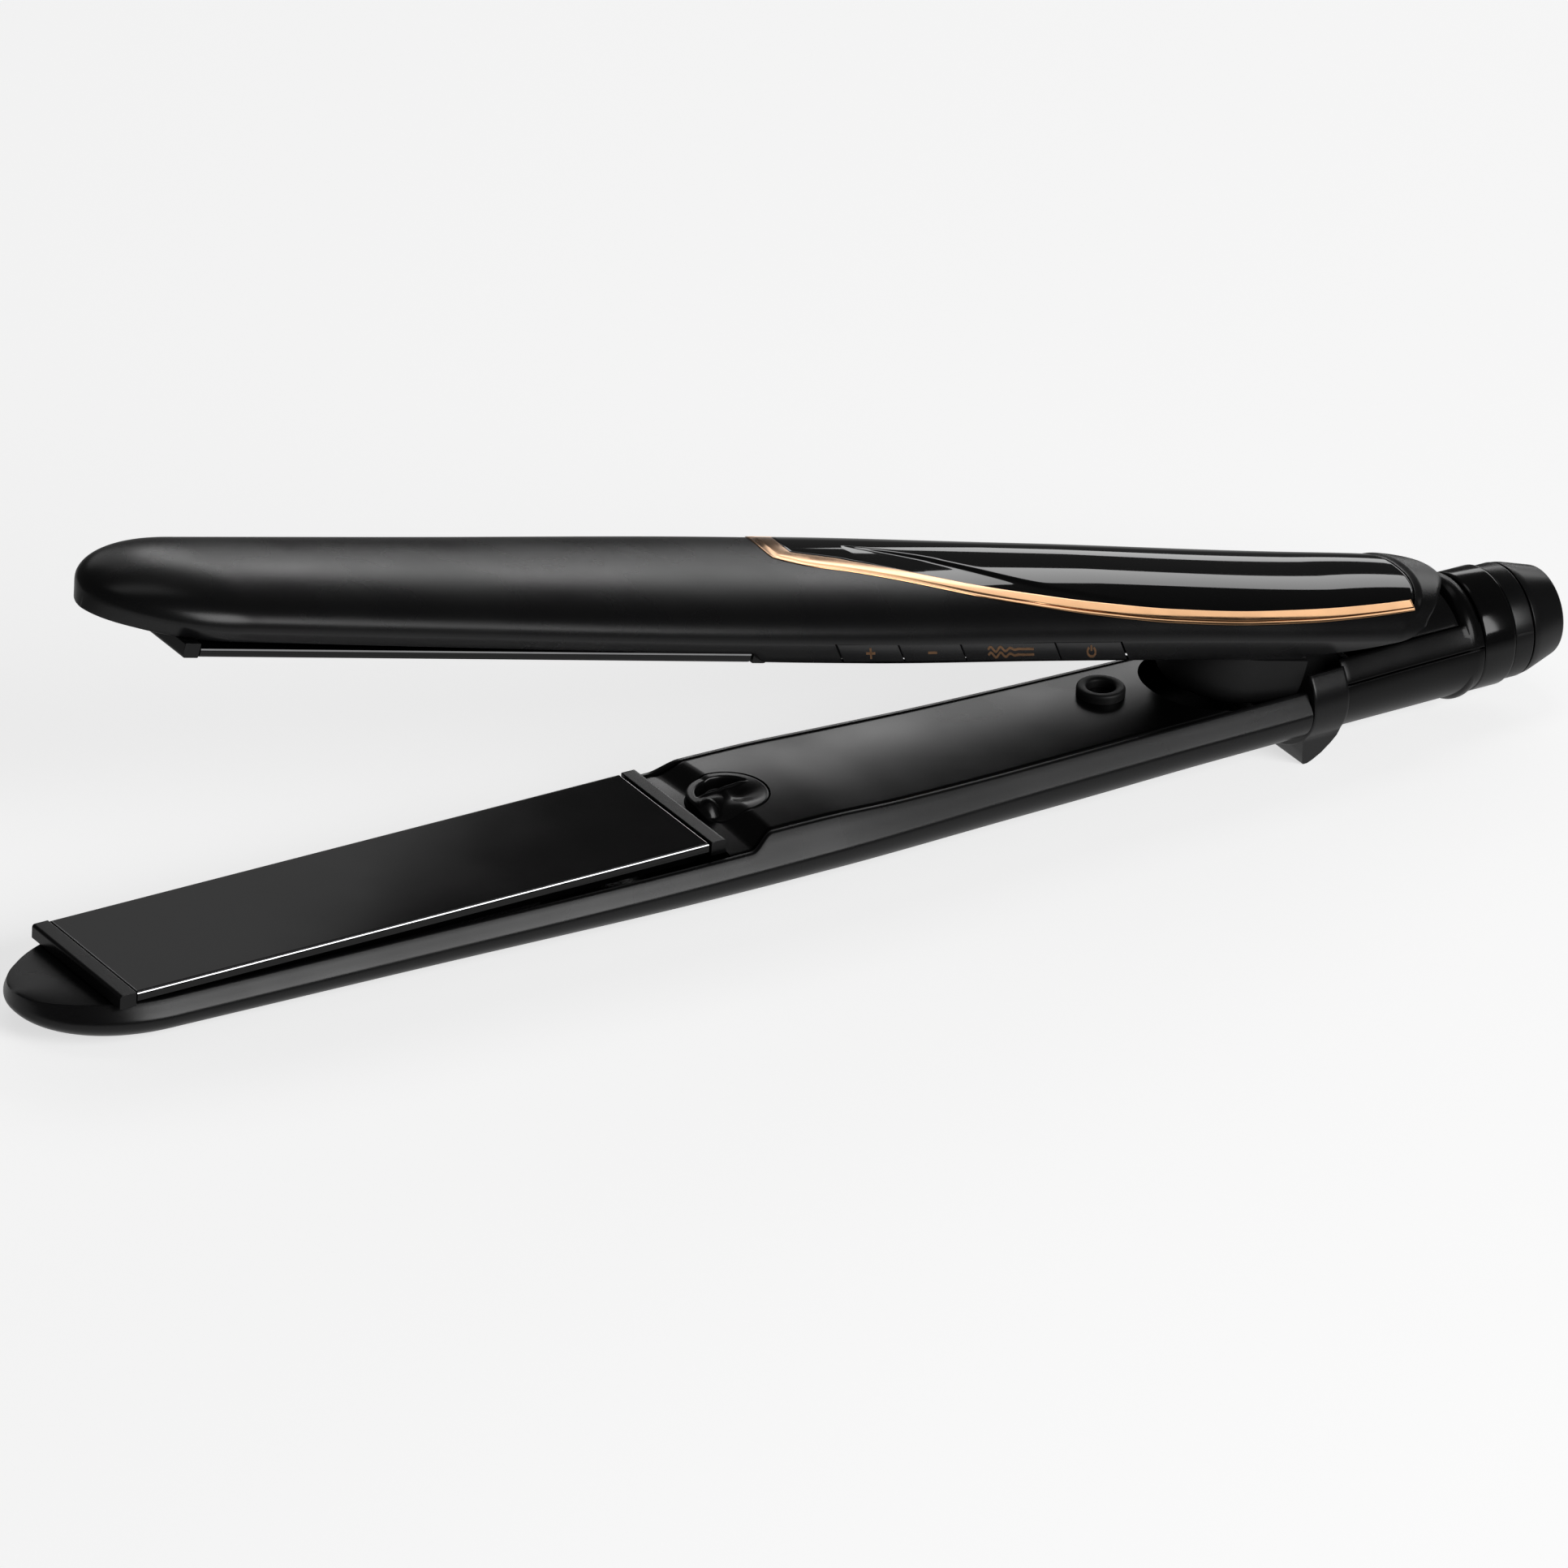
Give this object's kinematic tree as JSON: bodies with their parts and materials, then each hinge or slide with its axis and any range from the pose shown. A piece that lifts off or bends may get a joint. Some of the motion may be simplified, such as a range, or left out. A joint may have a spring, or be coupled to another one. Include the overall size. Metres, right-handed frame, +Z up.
{
  "type": "flat iron",
  "caption": "Hair straightener with two hinged arms, floating heated plates, side buttons and a swivelling cord inlet.",
  "frame": {"origin": "centre of the footprint, on the table the tool rests on", "axes": "+X runs from the tip of the arms towards the cord end, -Y is the side with the buttons, +Z is up from the table"},
  "size_m": [0.3038, 0.0364, 0.0819],
  "materials": {
    "matte_shell": "soft-touch black with a fine grain",
    "satin_plastic": "satin black moulded plastic",
    "gloss_black": "high-gloss black",
    "button_matte": "matte black keys with copper-coloured symbols",
    "copper": "polished copper-coloured anodised trim",
    "plate_ceramic": "glossy dark ceramic coating on the heated plate",
    "heater_ceramic": "unglazed ceramic heater",
    "steel": "bright steel",
    "brass": "plain brass",
    "black_rubber": "black silicone rubber",
    "circuit_board": "green solder mask",
    "module_plastic": "dark moulded epoxy"
  },
  "bodies": {
    "lower_arm": {"lower_shell": "matte_shell", "lower_liner": "satin_plastic", "lower_retainer_front": "satin_plastic", "lower_retainer_rear": "satin_plastic", "lower_cushion_front": "black_rubber", "lower_cushion_rear": "black_rubber", "sensor_housing": "satin_plastic", "sensor_lens": "gloss_black", "sensor_board": "circuit_board", "board_screw_3": "steel", "lower_heater_leads": "black_rubber", "stop_ring": "black_rubber", "foot_collar": "matte_shell", "tail_frame": "matte_shell", "tail_cover": "satin_plastic", "tail_lower": "matte_shell", "hinge_bracket": "steel", "hinge_pin": "steel", "pin_clip_near": "steel", "pin_clip_far": "steel", "hinge_spring": "steel", "swivel_spindle": "satin_plastic"},
    "upper_arm": {"upper_shell": "matte_shell", "upper_liner": "satin_plastic", "upper_retainer_front": "satin_plastic", "upper_retainer_rear": "satin_plastic", "upper_cushion_front": "black_rubber", "upper_cushion_rear": "black_rubber", "gloss_panel": "gloss_black", "copper_trim": "copper", "hinge_tongue": "matte_shell", "main_board": "circuit_board", "power_module": "module_plastic", "button_board": "circuit_board", "switch_1": "module_plastic", "switch_2": "module_plastic", "switch_3": "module_plastic", "switch_4": "module_plastic", "board_screw_1": "steel", "board_screw_2": "steel", "upper_heater_leads": "black_rubber"},
    "lower_plate_set": {"lower_plate": "plate_ceramic", "lower_heater": "heater_ceramic", "lower_heater_clip": "steel", "lower_thermistor": "brass"},
    "upper_plate_set": {"upper_plate": "plate_ceramic", "upper_heater": "heater_ceramic", "upper_heater_clip": "steel", "upper_thermistor": "brass"},
    "plus_button_key": {"plus_button": "button_matte"},
    "minus_button_key": {"minus_button": "button_matte"},
    "mode_button_key": {"mode_button": "button_matte"},
    "power_button_key": {"power_button": "button_matte"},
    "lock_collar": {"lock_ring": "gloss_black", "lock_sleeve": "matte_shell", "lock_rod": "steel"},
    "swivel": {"swivel_cap": "matte_shell"}
  },
  "joints": [
    {"name": "arm_hinge", "type": "hinge", "parent": "lower_arm", "child": "upper_arm", "pos_m": [0.10687, 0, 0.00915], "axis": [0, -1, 0], "range_deg": [0, 14], "stiffness_Nm_per_rad": 0.8, "springref_deg": -28.65},
    {"name": "lower_plate_float", "type": "slide", "parent": "lower_arm", "child": "lower_plate_set", "axis": [0.0274, 0, -0.9996], "range_m": [0, 0.0008], "stiffness_N_per_m": 3000, "springref_m": -0.001},
    {"name": "upper_plate_float", "type": "slide", "parent": "upper_arm", "child": "upper_plate_set", "axis": [0.2152, 0, 0.9766], "range_m": [0, 0.0008], "stiffness_N_per_m": 3000, "springref_m": -0.001},
    {"name": "plus_press", "type": "slide", "parent": "upper_arm", "child": "plus_button_key", "axis": [0.0924, 0.8188, 0.5666], "range_m": [0, 0.0005], "stiffness_N_per_m": 600, "springref_m": -0.0005},
    {"name": "minus_press", "type": "slide", "parent": "upper_arm", "child": "minus_button_key", "axis": [0.0924, 0.8188, 0.5666], "range_m": [0, 0.0005], "stiffness_N_per_m": 600, "springref_m": -0.0005},
    {"name": "mode_press", "type": "slide", "parent": "upper_arm", "child": "mode_button_key", "axis": [0.0924, 0.8188, 0.5666], "range_m": [0, 0.0005], "stiffness_N_per_m": 600, "springref_m": -0.0005},
    {"name": "power_press", "type": "slide", "parent": "upper_arm", "child": "power_button_key", "axis": [0.0924, 0.8188, 0.5666], "range_m": [0, 0.0005], "stiffness_N_per_m": 600, "springref_m": -0.0005},
    {"name": "lock_slide", "type": "slide", "parent": "lower_arm", "child": "lock_collar", "axis": [0.9996, 0, 0.0274], "range_m": [0, 0.003]},
    {"name": "cap_swivel", "type": "hinge", "parent": "lock_collar", "child": "swivel", "pos_m": [0.14777, 0, 0.01337], "axis": [0.9996, 0, 0.0274], "continuous": true}
  ]
}
